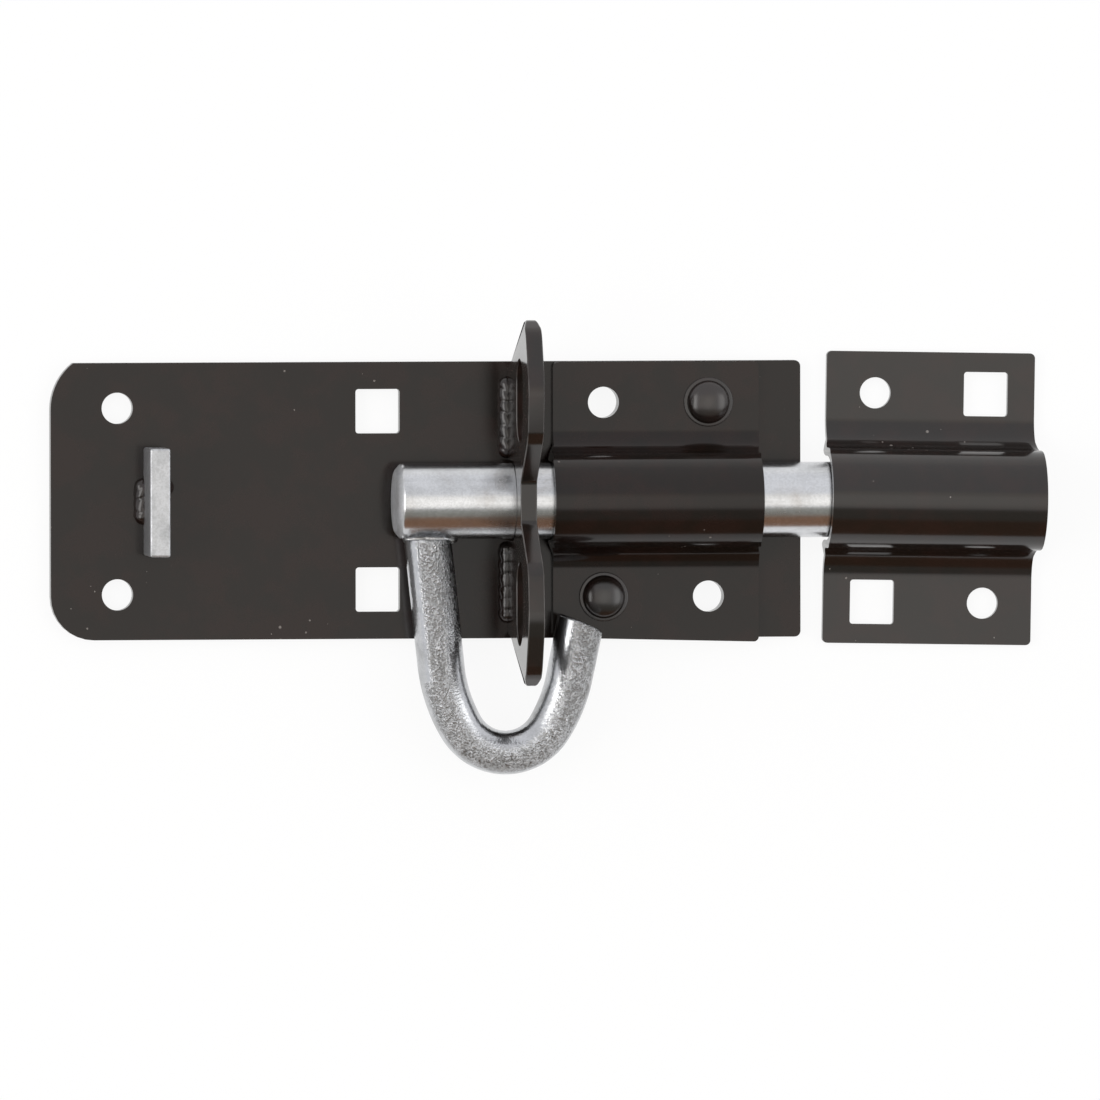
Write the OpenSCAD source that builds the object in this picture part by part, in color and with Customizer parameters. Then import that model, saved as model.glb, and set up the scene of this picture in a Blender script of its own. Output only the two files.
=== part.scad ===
// Padbolt: a round bolt that slides in a strap on a back plate, and locks with a padlock.
// Millimetres. X runs along the bolt towards the keeper, Y across it, Z out of the door.
// The origin is the middle of the back plate, on its back face.

/* [Back plate] */
// Length of the back plate, along the bolt
plate_l = 150; // [135:1:180]
// Width of the back plate
plate_w = 55; // [54:0.5:62]
// Thickness of the back plate
plate_t = 2.5; // [1.5:0.1:4]
// Radius of the plate's lower left corner
corner_r = 8.6; // [2:0.1:12]
// Radius of the plate's upper left corner, which the top edge shears off
sheared_corner_r = 11.7; // [10:0.1:14]
// How far the centre of the sheared corner lies below the top edge
sheared_corner_drop = 9.2; // [7:0.1:10]
// Radius of the plate's two right corners
small_corner_r = 1.2; // [0.3:0.1:3]

/* [Fixing holes] */
// Diameter of the round screw holes
screw_hole_d = 6.2; // [4:0.1:8]
// Width of the square coach bolt holes
square_hole_w = 8.8; // [6:0.1:10]
// Corner radius of the square holes
square_hole_r = 0.6; // [0.2:0.1:1.5]
// Distance of the left screw holes from the plate's left end
screw_inset = 13.3; // [10:0.1:14.5]
// Distance of the left screw holes from the plate's long edges
screw_edge = 9; // [7.5:0.1:12]
// Distance of the square holes from the plate's left end
square_inset = 65.3; // [55:0.1:68]
// Distance of the square holes' middles from the plate's long edges
square_edge = 9.8; // [8:0.1:11]

/* [Bolt] */
// Diameter of the bolt
bolt_d = 15; // [12:0.5:16]
// Chamfer at the ends of the bolt
bolt_chamfer = 0.9; // [0.3:0.1:2]
// Gap between the bolt and the back plate under it
bolt_lift = 0.3; // [0.2:0.05:0.8]
// Distance from the tail end of the bolt to the stop lug
bolt_travel = 45.1; // [38:0.1:50]
// How far short of the keeper's far edge the bolt ends
bolt_short = 4.1; // [0:0.1:8]
// Length of bolt behind the middle of the handle
bolt_tail = 5.8; // [5:0.1:12]

/* [Guide strap] */
// Thickness of the strap and the keeper
sheet_t = 1.6; // [1.2:0.1:2.2]
// Width of the strap, along the bolt
strap_l = 41.2; // [36:0.1:44]
// How far the strap's ends stop short of the plate's long edges
strap_short = 0.1; // [-0.5:0.1:1]
// How far the strap's lower right corner hangs past its straight end
strap_skew = 1; // [0:0.1:2]
// Distance of the strap from the plate's right end
strap_inset = 8.6; // [6:0.1:12]
// Gap round the bolt inside the strap
strap_gap = 0.3; // [0.2:0.05:0.6]
// Radius of the bend from the strap's flange up to its hump
strap_foot_r = 4.8; // [3:0.1:5]
// How far the strap's hump stands past its flanges at its left end
strap_hump_left = 1.4; // [0.3:0.1:1.6]
// How far the strap's hump stands past its flanges at its right end, below 0 where it stops short
strap_hump_right = -0.9; // [-1.2:0.1:-0.3]
// Corner radius of the strap and the keeper
sheet_corner_r = 1; // [0.3:0.1:3]
// Half the distance between the strap's holes, along the bolt
strap_hole_x = 10.5; // [9:0.1:13]
// Distance of the strap's holes from the plate's long edges
strap_hole_edge = 8.2; // [7:0.1:8.4]

/* [Rivets] */
// Diameter of the rivet's head
rivet_head_d = 8.4; // [7:0.1:9]
// Height of the rivet's head above its collar
rivet_head_h = 2.2; // [1.5:0.1:3]
// Diameter of the flat collar under the head
rivet_collar_d = 9.8; // [9.4:0.1:10]
// Height of the collar
rivet_collar_h = 0.4; // [0.2:0.1:0.8]
// Diameter of the rivet's shank
rivet_shank_d = 5; // [4:0.1:6]
// Gap round the shank in its hole
rivet_gap = 0.05; // [0.02:0.01:0.1]
// Diameter of the flush tail in the plate's back
rivet_tail_d = 7.6; // [7:0.1:9]
// Depth of the flush tail
rivet_tail_h = 1; // [0.5:0.1:1.3]

/* [Staple plate] */
// Thickness of the staple plate
staple_t = 3.3; // [2.5:0.1:4]
// Gap between the staple plate and the strap
staple_strap_gap = 5.7; // [4:0.1:7]
// Half the width of the staple plate at its foot
staple_foot_y = 26.3; // [25:0.1:27]
// Half the width of the staple plate at its tips
staple_tip_y = 36.6; // [35:0.1:37]
// Height of the lobes above the back plate
staple_h = 33.6; // [32:0.1:36]
// Height of the waist between the lobes, above the bolt's notch
staple_bridge = 5.4; // [4:0.1:6.5]
// Gap round the bolt in the staple plate's notch
staple_gap = 0.4; // [0.2:0.05:0.8]
// Length of the padlock eyes, across the bolt
eye_l = 16.6; // [12:0.1:17.5]
// Height of the padlock eyes
eye_h = 10.3; // [8:0.1:11]
// Distance of the eyes' centres from the bolt's axis, across the bolt
eye_y = 20; // [19:0.1:21]
// Height of the eyes' centres above the back plate
eye_z = 19.2; // [18:0.1:20]

/* [Stop lug] */
// Thickness of the stop lug
lug_t = 4.1; // [3:0.1:6]
// Width of the stop lug
lug_w = 21.5; // [16:0.1:26]
// Height of the stop lug above the back plate
lug_h = 11.8; // [10:0.1:18]

/* [Handle] */
// Diameter of the handle
handle_d = 9.4; // [8:0.1:9.8]
// Distance from the middle of the handle's root to the staple plate
handle_lead = 17.7; // [17.2:0.1:18.4]
// Lean of the handle's long leg
leg_lean = 6; // [4:0.5:7]
// Distance from the bolt's axis to the start of the long leg's bend
leg_reach = 32.7; // [31:0.1:35]
// Radius of the easy bends in both legs
easy_r = 31; // [29:0.1:34]
// Angle of the easy bend in the long leg
easy_angle = 24; // [22:0.5:26]
// Radius of the tight bend at the bottom
tight_r = 10.3; // [10.2:0.1:11]
// Angle of the easy bend in the short leg
tip_easy_angle = 20.5; // [18:0.5:22]
// Lean of the short leg
tip_lean = 11.5; // [10:0.5:13]
// Length of the short leg's straight end
tip_l = 11; // [8:0.1:12]
// Slant of the sawn end of the short leg
tip_slant = 12; // [0:1:20]
// How much the rod's radius draws down from the legs to the easy bends, and again to the tight bend
draw_down = 0.15; // [0.05:0.05:0.2]
// Gap between the handle's coped end and the bolt
cope_gap = 0.05; // [0.02:0.01:0.1]

/* [Keeper] */
// Width of the keeper, along the bolt
keeper_l = 41.8; // [36:0.1:46]
// Length of the keeper, across the bolt
keeper_w = 58.1; // [55:0.1:62]
// Distance of the keeper from the back plate
keeper_inset = 5; // [2:0.1:8]
// How far the keeper has turned on its seat
keeper_turn = -1; // [-1.2:0.1:1.2]
// How far the keeper's middle lies off the bolt's axis
keeper_off = -0.1; // [-0.2:0.1:0.2]
// Radius of the bend from the keeper's flange up to its hump
keeper_foot_r = 6.2; // [4:0.1:6.4]
// How far the keeper's hump stands past its flanges at its left end
keeper_hump_left = 0.8; // [0.3:0.1:1.2]
// How far the keeper's hump stands past its flanges at its right end
keeper_hump_right = 0.4; // [0.3:0.1:1.2]
// Gap round the bolt inside the keeper
keeper_gap = 0.85; // [0.8:0.05:1.2]
// Half the distance between the keeper's holes, along the bolt
keeper_hole_x = 11.1; // [9:0.1:13]
// Half the distance between the keeper's holes, across the bolt
keeper_hole_y = 20.8; // [19:0.1:22]

/* [Welds] */
// Radius of the ripples in the weld beads
bead_r = 2; // [1.2:0.1:2.4]
// Step from one ripple to the next
bead_pitch = 2.2; // [1.2:0.1:2.6]
// Length of the staple plate's beads
staple_bead_l = 16.6; // [12:0.1:17.5]
// Distance of the staple plate's beads from the bolt's axis
staple_bead_y = 8.1; // [8:0.1:9]
// Length of the stop lug's left bead
lug_bead_l = 9.4; // [6:0.1:14]
// Length of the stop lug's right bead, a short tack
lug_tack_l = 4.6; // [4:0.1:8]
// Distance of that tack from the bolt's axis
lug_tack_y = 2.8; // [-4:0.1:4]
// Radius of the ripples round the root of the handle
handle_bead_r = 1.2; // [1:0.1:1.6]
// Step from one of those ripples to the next
handle_bead_pitch = 1.5; // [1:0.1:1.6]

/* [Hidden] */

$fn = 64;
cut = 1;
// Angle by which a thinner bend of the handle laps into its thicker neighbour
lap = 2;

// Distance outside the hump's wall where the ends of a strap start to step, and the rounding
hump_blend = 1.5;
hump_blend_r = 1.5;

// Half the staple plate's outline: its side leans out to a turn and slants on to the tip, then a
// shoulder and a nearly level crest lead to a steep inner flank and the waist
staple_lean = 1.3;
staple_turn_z = 6.3;
staple_turn_r = 9;
staple_tip_z = 24.3;
staple_tip_r = 3;
staple_shoulder_in = 2.7;
staple_shoulder_drop = 4.6;
staple_shoulder_r = 6;
staple_crest_y = 24;
staple_crest_drop = 0.4;
staple_crest_r = 15;
staple_flank_y = 12.2;
staple_flank_r = 3.5;
staple_waist_y = 4.2;
staple_waist_r = 1.6;

enamel = "#3d3936";
zinc = "#c3c6c8";

bolt_r = bolt_d / 2;
axis_z = plate_t + bolt_lift + bolt_r;
strap_r = bolt_r + strap_gap;
strap_w = plate_w - 2 * strap_short;
strap_hole_y = plate_w / 2 - strap_hole_edge;
strap_x = plate_l / 2 - strap_inset - strap_l / 2;
staple_x = strap_x - strap_l / 2 - staple_strap_gap - staple_t;
handle_x = staple_x - handle_lead;
handle_r = handle_d / 2;
keeper_r = bolt_r + keeper_gap;
keeper_x = plate_l / 2 + keeper_inset + keeper_l / 2;
bolt_start = handle_x - bolt_tail;
bolt_end = keeper_x + keeper_l / 2 - bolt_short;
lug_x = bolt_start - bolt_travel - lug_t;

// Points of a fillet of radius r at corner b, between its neighbours a and c
function fillet(a, b, c, r, steps = 8) =
    let (u = (a - b) / norm(a - b), v = (c - b) / norm(c - b))
    let (half = acos(u * v) / 2, reach = r / tan(half))
    let (middle = b + (u + v) / norm(u + v) * r / sin(half))
    let (from = b + u * reach - middle, to = b + v * reach - middle)
    let (start = atan2(from.y, from.x), turn = atan2(to.y, to.x) - start)
    let (sweep = turn > 180 ? turn - 360 : turn < -180 ? turn + 360 : turn)
    [for (i = [0 : steps]) middle + r * [cos(start + sweep * i / steps), sin(start + sweep * i / steps)]];

// Outline through corners [x, y, radius], each rounded to its own radius
function rounded(corners) = [
    for (i = [0 : len(corners) - 1])
        let (a = corners[(i + len(corners) - 1) % len(corners)], b = corners[i])
        let (c = corners[(i + 1) % len(corners)])
        each b.z > 0 ? fillet([a.x, a.y], [b.x, b.y], [c.x, c.y], b.z) : [[b.x, b.y]]];

// A list of half-outline corners, followed by their mirror image in the bolt's axis
function both_sides(half) = concat(half, [for (i = [len(half) - 1 : -1 : 0]) [-half[i].x, half[i].y, half[i].z]]);

// Turns a shape drawn in Y and Z into a slab that runs along X
module along_x(length) {
    rotate([90, 0, 90]) linear_extrude(length) children();
}

module drill(x, y, d, height) {
    translate([x, y, -cut]) cylinder(h = height + 2 * cut, d = d);
}

module punch_square(x, y, height) {
    w = square_hole_w / 2;
    translate([x, y, -cut]) linear_extrude(height + 2 * cut)
        polygon(rounded([for (k = [[-w, -w], [w, -w], [w, w], [-w, w]]) [k.x, k.y, square_hole_r]]));
}

// Back plate, with the left end's corners rounded and sheared as stamped
module plate_outline() {
    left = -plate_l / 2;
    right = plate_l / 2;
    half_w = plate_w / 2;
    intersection() {
        polygon(rounded([[left, -half_w, corner_r], [right, -half_w, small_corner_r],
            [right, half_w, small_corner_r], [left, half_w, 0]]));
        union() {
            translate([left + sheared_corner_r, -plate_w]) square([plate_l, 2 * plate_w]);
            translate([left, -plate_w]) square([plate_l, 1.5 * plate_w - sheared_corner_drop]);
            translate([left + sheared_corner_r, half_w - sheared_corner_drop]) circle(sheared_corner_r);
        }
    }
}

module rivet_tail_seat(x, y, gap) {
    translate([x, y, 0]) rotate_extrude()
        polygon([[0, -cut], [rivet_tail_d / 2 + gap, -cut], [rivet_tail_d / 2 + gap, 0],
            [rivet_shank_d / 2 + gap, rivet_tail_h], [0, rivet_tail_h]]);
}

module back_plate() color(enamel) difference() {
    linear_extrude(plate_t) plate_outline();
    for (side = [-1, 1]) {
        drill(-plate_l / 2 + screw_inset, side * (plate_w / 2 - screw_edge), screw_hole_d, plate_t);
        punch_square(-plate_l / 2 + square_inset, side * (plate_w / 2 - square_edge), plate_t);
        drill(strap_x - side * strap_hole_x, side * strap_hole_y, screw_hole_d, plate_t);
        drill(strap_x + side * strap_hole_x, side * strap_hole_y, rivet_shank_d + 2 * rivet_gap, plate_t);
        rivet_tail_seat(strap_x + side * strap_hole_x, side * strap_hole_y, rivet_gap);
    }
}

// Section of a strap in Y and Z: flange, bend, wall and half-round crown on each side
module omega_section(inner_r, foot_r, base_z, half_w) {
    outer_r = inner_r + sheet_t;
    bend_z = base_z + sheet_t + foot_r;
    intersection() {
        translate([0, axis_z]) difference() {
            circle(outer_r);
            circle(inner_r);
        }
        translate([-half_w, axis_z]) square([2 * half_w, 2 * outer_r]);
    }
    for (side = [0, 1]) mirror([side, 0]) {
        translate([inner_r, bend_z]) square([sheet_t, axis_z - bend_z]);
        intersection() {
            translate([outer_r + foot_r, bend_z]) difference() {
                circle(foot_r + sheet_t);
                circle(foot_r);
            }
            translate([inner_r, base_z]) square([sheet_t + foot_r, sheet_t + foot_r]);
        }
        translate([outer_r + foot_r, base_z]) square([half_w - outer_r - foot_r, sheet_t]);
    }
}

// Plan outline of a strap, whose hump stands past its flanges by left and right, or short of them
module omega_plan(length, half_w, outer_r, skew, left, right) {
    edge = length / 2;
    shoulder = outer_r + hump_blend;
    polygon(rounded([
        [-edge, -half_w, sheet_corner_r], [edge, -half_w - skew, sheet_corner_r],
        [edge, -shoulder, hump_blend_r], [edge + right, abs(right) - outer_r, hump_blend_r],
        [edge + right, outer_r - abs(right), hump_blend_r], [edge, shoulder, hump_blend_r],
        [edge, half_w, sheet_corner_r], [-edge, half_w, sheet_corner_r],
        [-edge, shoulder, hump_blend_r], [-edge - left, outer_r - abs(left), hump_blend_r],
        [-edge - left, abs(left) - outer_r, hump_blend_r], [-edge, -shoulder, hump_blend_r]]));
}

module omega_strap(length, half_w, inner_r, foot_r, base_z, skew, left, right) {
    reach = length / 2 + max(left, right) + cut;
    intersection() {
        translate([-reach, 0, 0]) along_x(2 * reach) omega_section(inner_r, foot_r, base_z, half_w + skew);
        linear_extrude(axis_z + 2 * inner_r) omega_plan(length, half_w, inner_r + sheet_t, skew, left, right);
    }
}

module guide_strap() color(enamel) translate([strap_x, 0, 0]) difference() {
    omega_strap(strap_l, strap_w / 2, strap_r, strap_foot_r, plate_t, strap_skew, strap_hump_left, strap_hump_right);
    for (side = [-1, 1]) {
        drill(-side * strap_hole_x, side * strap_hole_y, screw_hole_d, plate_t + sheet_t);
        drill(side * strap_hole_x, side * strap_hole_y, rivet_shank_d + 2 * rivet_gap, plate_t + sheet_t);
    }
}

// Snap-head rivet: flush tail, shank, flat collar and domed head in one turned profile
module rivet(side) {
    seat_z = plate_t + sheet_t;
    head_z = seat_z + rivet_collar_h;
    head_r = rivet_head_d / 2;
    dome_r = (head_r * head_r + rivet_head_h * rivet_head_h) / (2 * rivet_head_h);
    translate([strap_x + side * strap_hole_x, side * strap_hole_y, 0]) rotate_extrude() {
        polygon([[0, 0], [rivet_tail_d / 2, 0], [rivet_shank_d / 2, rivet_tail_h],
            [rivet_shank_d / 2, seat_z], [rivet_collar_d / 2, seat_z], [rivet_collar_d / 2, head_z], [0, head_z]]);
        intersection() {
            translate([0, head_z + rivet_head_h - dome_r]) circle(dome_r);
            translate([0, head_z - rivet_collar_h / 2]) square([head_r, rivet_head_h + rivet_collar_h]);
        }
    }
}

module upper_rivet() color(enamel) rivet(1);
module lower_rivet() color(enamel) rivet(-1);

// Butterfly plate on edge: foot, slanted sides, lobes, and a waist over the bolt
module staple_outline() {
    notch_r = bolt_r + staple_gap;
    axis_h = axis_z - plate_t;
    waist_z = axis_h + notch_r + staple_bridge;
    difference() {
        polygon(rounded(both_sides([
            [staple_foot_y, 0, 0],
            [staple_foot_y + staple_lean, staple_turn_z, staple_turn_r],
            [staple_tip_y, staple_tip_z, staple_tip_r],
            [staple_tip_y - staple_shoulder_in, staple_h - staple_shoulder_drop, staple_shoulder_r],
            [staple_crest_y, staple_h - staple_crest_drop, staple_crest_r],
            [staple_flank_y, staple_h, staple_flank_r],
            [staple_waist_y, waist_z, staple_waist_r]])));
        translate([0, axis_h]) circle(notch_r);
        translate([-notch_r, -cut]) square([2 * notch_r, axis_h + cut]);
        for (side = [-1, 1]) translate([side * eye_y, eye_z]) eye();
    }
}

module eye() {
    straight = (eye_l - eye_h) / 2;
    for (side = [-1, 1]) translate([side * straight, 0]) circle(eye_h / 2);
    square([2 * straight, eye_h], center = true);
}

module staple_plate() color(enamel) translate([staple_x, 0, plate_t]) along_x(staple_t) staple_outline();

// A weld bead: a row of ripples along Y, in the corner between the back plate and a face that looks
// to the left (-1) or to the right (1)
module bead(face_x, looks, start_y, length) {
    span = max(0, length - 2 * bead_r);
    steps = round(span / bead_pitch);
    intersection() {
        union() for (i = [0 : steps])
            translate([face_x, start_y + length / 2 + (steps > 0 ? span * (i / steps - 0.5) : 0), plate_t])
                sphere(bead_r);
        translate([looks < 0 ? face_x - 2 * bead_r : face_x, start_y - bead_r, plate_t])
            cube([2 * bead_r, length + 2 * bead_r, 2 * bead_r]);
    }
}

module staple_bead(side, looks) {
    face_x = looks < 0 ? staple_x : staple_x + staple_t;
    bead(face_x, looks, side > 0 ? staple_bead_y : -staple_bead_y - staple_bead_l, staple_bead_l);
}

module staple_weld_upper_left() color(enamel) staple_bead(1, -1);
module staple_weld_upper_right() color(enamel) staple_bead(1, 1);
module staple_weld_lower_left() color(enamel) staple_bead(-1, -1);
module staple_weld_lower_right() color(enamel) staple_bead(-1, 1);

module stop_lug() color(zinc) translate([lug_x, -lug_w / 2, plate_t]) cube([lug_t, lug_w, lug_h]);
module lug_weld_left() color(enamel) bead(lug_x, -1, -lug_bead_l / 2, lug_bead_l);
module lug_weld_right() color(enamel) bead(lug_x + lug_t, 1, lug_tack_y - lug_tack_l / 2, lug_tack_l);

module bolt_bar() color(zinc) translate([bolt_start, 0, axis_z]) rotate([0, 90, 0]) {
    middle = bolt_end - bolt_start - 2 * bolt_chamfer;
    cylinder(h = bolt_chamfer, r1 = bolt_r - bolt_chamfer, r2 = bolt_r);
    translate([0, 0, bolt_chamfer]) cylinder(h = middle, r = bolt_r);
    translate([0, 0, bolt_chamfer + middle]) cylinder(h = bolt_chamfer, r1 = bolt_r, r2 = bolt_r - bolt_chamfer);
}

// One bend of the rod, which starts at the origin, heads down -Y and turns towards +X. The drawn-down
// rod laps into a thicker neighbour at its start (lap_in) and at its end (lap_out), in degrees.
module bend(r, angle, rod_r, lap_in, lap_out) {
    translate([r, 0, 0]) rotate([0, 0, 180 - lap_in])
        rotate_extrude(angle = angle + lap_in + lap_out) translate([r, 0]) circle(rod_r);
}

module after_bend(r, angle) {
    translate([r * (1 - cos(angle)), -r * sin(angle), 0]) rotate([0, 0, angle]) children();
}

module straight(length) {
    rotate([90, 0, 0]) cylinder(h = length, r = handle_r);
}

// Long leg, easy bend, tight bend, easy bend, and short leg with a sawn end
module handle_rod() {
    tight_angle = 180 - leg_lean - easy_angle - tip_easy_angle - tip_lean;
    easy_rod_r = handle_r - draw_down;
    tight_rod_r = easy_rod_r - draw_down;
    rotate([0, 0, leg_lean]) {
        straight(leg_reach);
        translate([0, -leg_reach, 0]) {
            bend(easy_r, easy_angle, easy_rod_r, lap, 0);
            after_bend(easy_r, easy_angle) {
                bend(tight_r, tight_angle, tight_rod_r, lap, lap);
                after_bend(tight_r, tight_angle) {
                    bend(easy_r, tip_easy_angle, easy_rod_r, 0, lap);
                    after_bend(easy_r, tip_easy_angle) difference() {
                        straight(tip_l + handle_d);
                        translate([0, -tip_l, 0]) rotate([0, 0, -tip_slant])
                            translate([-handle_d, -2 * handle_d, -handle_d]) cube(2 * handle_d);
                    }
                }
            }
        }
    }
}

module bolt_clearance() {
    rotate([0, 90, 0]) cylinder(h = 8 * handle_d, r = bolt_r + cope_gap, center = true);
}

module handle() color(zinc) translate([handle_x, 0, axis_z]) difference() {
    handle_rod();
    bolt_clearance();
}

// Ripples of weld along the saddle where the handle meets the bolt
module handle_weld() color(zinc) translate([handle_x, 0, axis_z]) difference() {
    steps = round(PI * handle_d / handle_bead_pitch);
    rotate([0, 0, leg_lean]) union() for (i = [0 : steps - 1])
        let (x = handle_r * cos(360 * i / steps), z = handle_r * sin(360 * i / steps))
        translate([x, -sqrt(bolt_r * bolt_r - z * z), z]) sphere(handle_bead_r);
    rotate([0, 0, leg_lean]) straight(leg_reach);
    bolt_clearance();
}

module keeper() color(enamel) translate([keeper_x, keeper_off, 0]) rotate([0, 0, keeper_turn]) difference() {
    omega_strap(keeper_l, keeper_w / 2, keeper_r, keeper_foot_r, 0, 0, keeper_hump_left, keeper_hump_right);
    for (side = [-1, 1]) {
        drill(-side * keeper_hole_x, side * keeper_hole_y, screw_hole_d, sheet_t);
        punch_square(side * keeper_hole_x, side * keeper_hole_y, sheet_t);
    }
}

back_plate();
guide_strap();
upper_rivet();
lower_rivet();
staple_plate();
staple_weld_upper_left();
staple_weld_upper_right();
staple_weld_lower_left();
staple_weld_lower_right();
stop_lug();
lug_weld_left();
lug_weld_right();
bolt_bar();
handle();
handle_weld();
keeper();
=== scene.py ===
"""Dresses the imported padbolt: enamelled plate, straps and staple plate, zinc bolt, handle and lug"""

import math

import bmesh
import bpy
from bpy.props import FloatProperty, FloatVectorProperty, PointerProperty
from mathutils import Matrix, Vector, noise
from mathutils.kdtree import KDTree


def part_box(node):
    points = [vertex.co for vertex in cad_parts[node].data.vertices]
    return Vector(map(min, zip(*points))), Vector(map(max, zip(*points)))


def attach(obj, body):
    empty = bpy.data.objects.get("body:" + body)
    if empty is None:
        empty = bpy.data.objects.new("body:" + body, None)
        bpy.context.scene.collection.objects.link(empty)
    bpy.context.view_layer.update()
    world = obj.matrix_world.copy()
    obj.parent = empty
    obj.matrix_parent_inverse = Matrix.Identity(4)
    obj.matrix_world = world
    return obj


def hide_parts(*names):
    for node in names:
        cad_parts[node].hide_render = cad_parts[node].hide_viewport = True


bl_info = {
    "name": "Padbolt",
    "version": (1, 0, 0),
    "blender": (4, 5, 0),
    "location": "3D View > Sidebar > Padbolt",
    "description": "Makes the pieces of a padbolt round its packed model, in enamel and zinc",
    "category": "Object",
}

MM = 0.001
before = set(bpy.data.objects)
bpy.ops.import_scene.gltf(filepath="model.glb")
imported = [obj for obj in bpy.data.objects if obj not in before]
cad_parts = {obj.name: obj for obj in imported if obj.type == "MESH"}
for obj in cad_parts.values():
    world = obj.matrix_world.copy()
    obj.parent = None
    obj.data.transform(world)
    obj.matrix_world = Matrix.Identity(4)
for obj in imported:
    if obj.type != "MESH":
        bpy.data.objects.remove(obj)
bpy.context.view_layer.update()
bar_low, bar_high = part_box("bolt_bar")
plate_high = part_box("back_plate")[1]
staple_low, staple_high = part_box("staple_plate")
BASE_BODY, BOLT_BODY, HANDLE_BODY = "base", "bolt", "handle"
HANDLE_ROOT = Vector((-1.5 * MM, (bar_low.y + bar_high.y) / 2, (bar_low.z + bar_high.z) / 2))


# Sizes and colours

def length(name, description, default):
    return FloatProperty(name=name, description=description, default=default, min=0.0,
                         subtype="DISTANCE", unit="LENGTH")


def colour(name, description, default):
    return FloatVectorProperty(name=name, description=description, default=default, min=0.0, max=1.0,
                               size=3, subtype="COLOR")


def angle(name, description, degrees):
    return FloatProperty(name=name, description=description, default=math.radians(degrees),
                         subtype="ANGLE", unit="ROTATION")


class PadboltSizes(bpy.types.PropertyGroup):
    """Sizes of the pieces that are made here"""
    bar_radius: length("Bolt radius", "Radius of the round bolt", (bar_high.y - bar_low.y) / 2)
    bar_chamfer: length("Bolt chamfer", "Chamfer at both ends of the bolt", 1.2 * MM)
    rod_radius: length("Handle radius", "Radius of the handle's legs", 4.7 * MM)
    drawn_radius: length("Drawn radius", "Radius of the handle in its tight bend", 4.36 * MM)
    leg_lean: angle("Leg lean", "Lean of the handle's long leg", 6)
    leg_reach: length("Leg reach", "Length of the long leg from the bolt's axis to its bend", 32.7 * MM)
    easy_radius: length("Easy bend", "Radius of the easy bends in both legs", 31 * MM)
    tight_radius: length("Tight bend", "Radius of the bend at the bottom of the handle", 10.3 * MM)
    tip_length: length("Tip length", "Length of the short leg's straight end", 11 * MM)
    tip_slant: angle("Tip slant", "Slant of the sawn end of the short leg", 12)
    sheet_edge: length("Sheet edge", "Rounding of the edges of the pressed parts", 0.42 * MM)
    plate_edge: length("Plate edge", "Rounding of the edges of the back plate", 0.45 * MM)
    staple_edge: length("Staple plate edge", "Rounding of the edges of the staple plate", 0.95 * MM)
    lug_edge: length("Lug edge", "Rounding of the stop lug's edges", 0.45 * MM)
    bead_radius: length("Bead radius", "Radius of the weld beads in the corners", 1.9 * MM)
    root_bead_radius: length("Root bead radius", "Radius of the weld round the handle's root", 1.05 * MM)
    bead_pitch: length("Ripple pitch", "Distance from one weld ripple to the next", 2.4 * MM)
    ripple_height: length("Ripple height", "Height of the weld ripples", 0.17 * MM)


class PadboltColours(bpy.types.PropertyGroup):
    """Colours of the finishes"""
    enamel: colour("Enamel", "Black-brown baked enamel", (0.0098, 0.0070, 0.0056))
    enamel_warm: colour("Warm mottling", "Reddish cast in the enamel", (0.0145, 0.0078, 0.0062))
    # Lighter colour for the edges: thin enamel, and also a painted highlight along the edges
    enamel_rim_and_highlight: colour("Enamel rims and highlights", "Enamel where it runs thin over the edges, with a painted edge highlight", (0.075, 0.069, 0.065))
    dust: colour("Dust", "Dust and polishing grit on the enamel", (0.32, 0.29, 0.27))
    zinc: colour("Zinc", "Bright zinc plate", (0.66, 0.67, 0.69))
    zinc_dull: colour("Dull zinc", "Dull patches in the zinc", (0.44, 0.45, 0.46))
    stain: colour("Stain", "Brown tint in the zinc plate", (0.46, 0.33, 0.22))
    floor: colour("Floor", "Pale floor", (0.95, 0.95, 0.95))


def sizes():
    return bpy.context.scene.padbolt_sizes


def colours():
    return bpy.context.scene.padbolt_colours


# The bends of the handle, whose radii are among its sizes
EASY_TURN = math.radians(24)
HALF_TIGHT_TURN = math.radians(59)
TIP_TURN = math.radians(20.5)
TIP_LEAN = math.radians(11.5)

# Scales of the noises in the finishes, from slow to fine
WAVE_SCALE, MOTTLE_SCALE, WARM_SCALE, PEEL_SCALE, GRIT_SCALE = 45, 55, 130, 420, 420
PATCH_SCALE, RIM_SCALE, STREAK_SCALE, COARSE_CRINKLE, FINE_CRINKLE = 75, 160, 260, 1150, 2300

# What the plate and the metal mirror, and the darker grey in the hollows of the crinkled zinc
ROOM = (0.92, 0.925, 0.95, 1)
LOW_GREY = (0.30, 0.30, 0.27, 1)
LOW_BROWN = (0.235, 0.13, 0.08, 1)
OVERHEAD_STRIP = (1.16, 1.12, 1.06, 1)
LEFT_PANEL = (3.6, 3.55, 3.5, 1)
RIGHT_PANEL = (2.2, 2.2, 2.2, 1)
WHITE = (1, 1, 1, 1)
HOLLOW_GREY = (0.11, 0.105, 0.095, 1)


# Node trees

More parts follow.
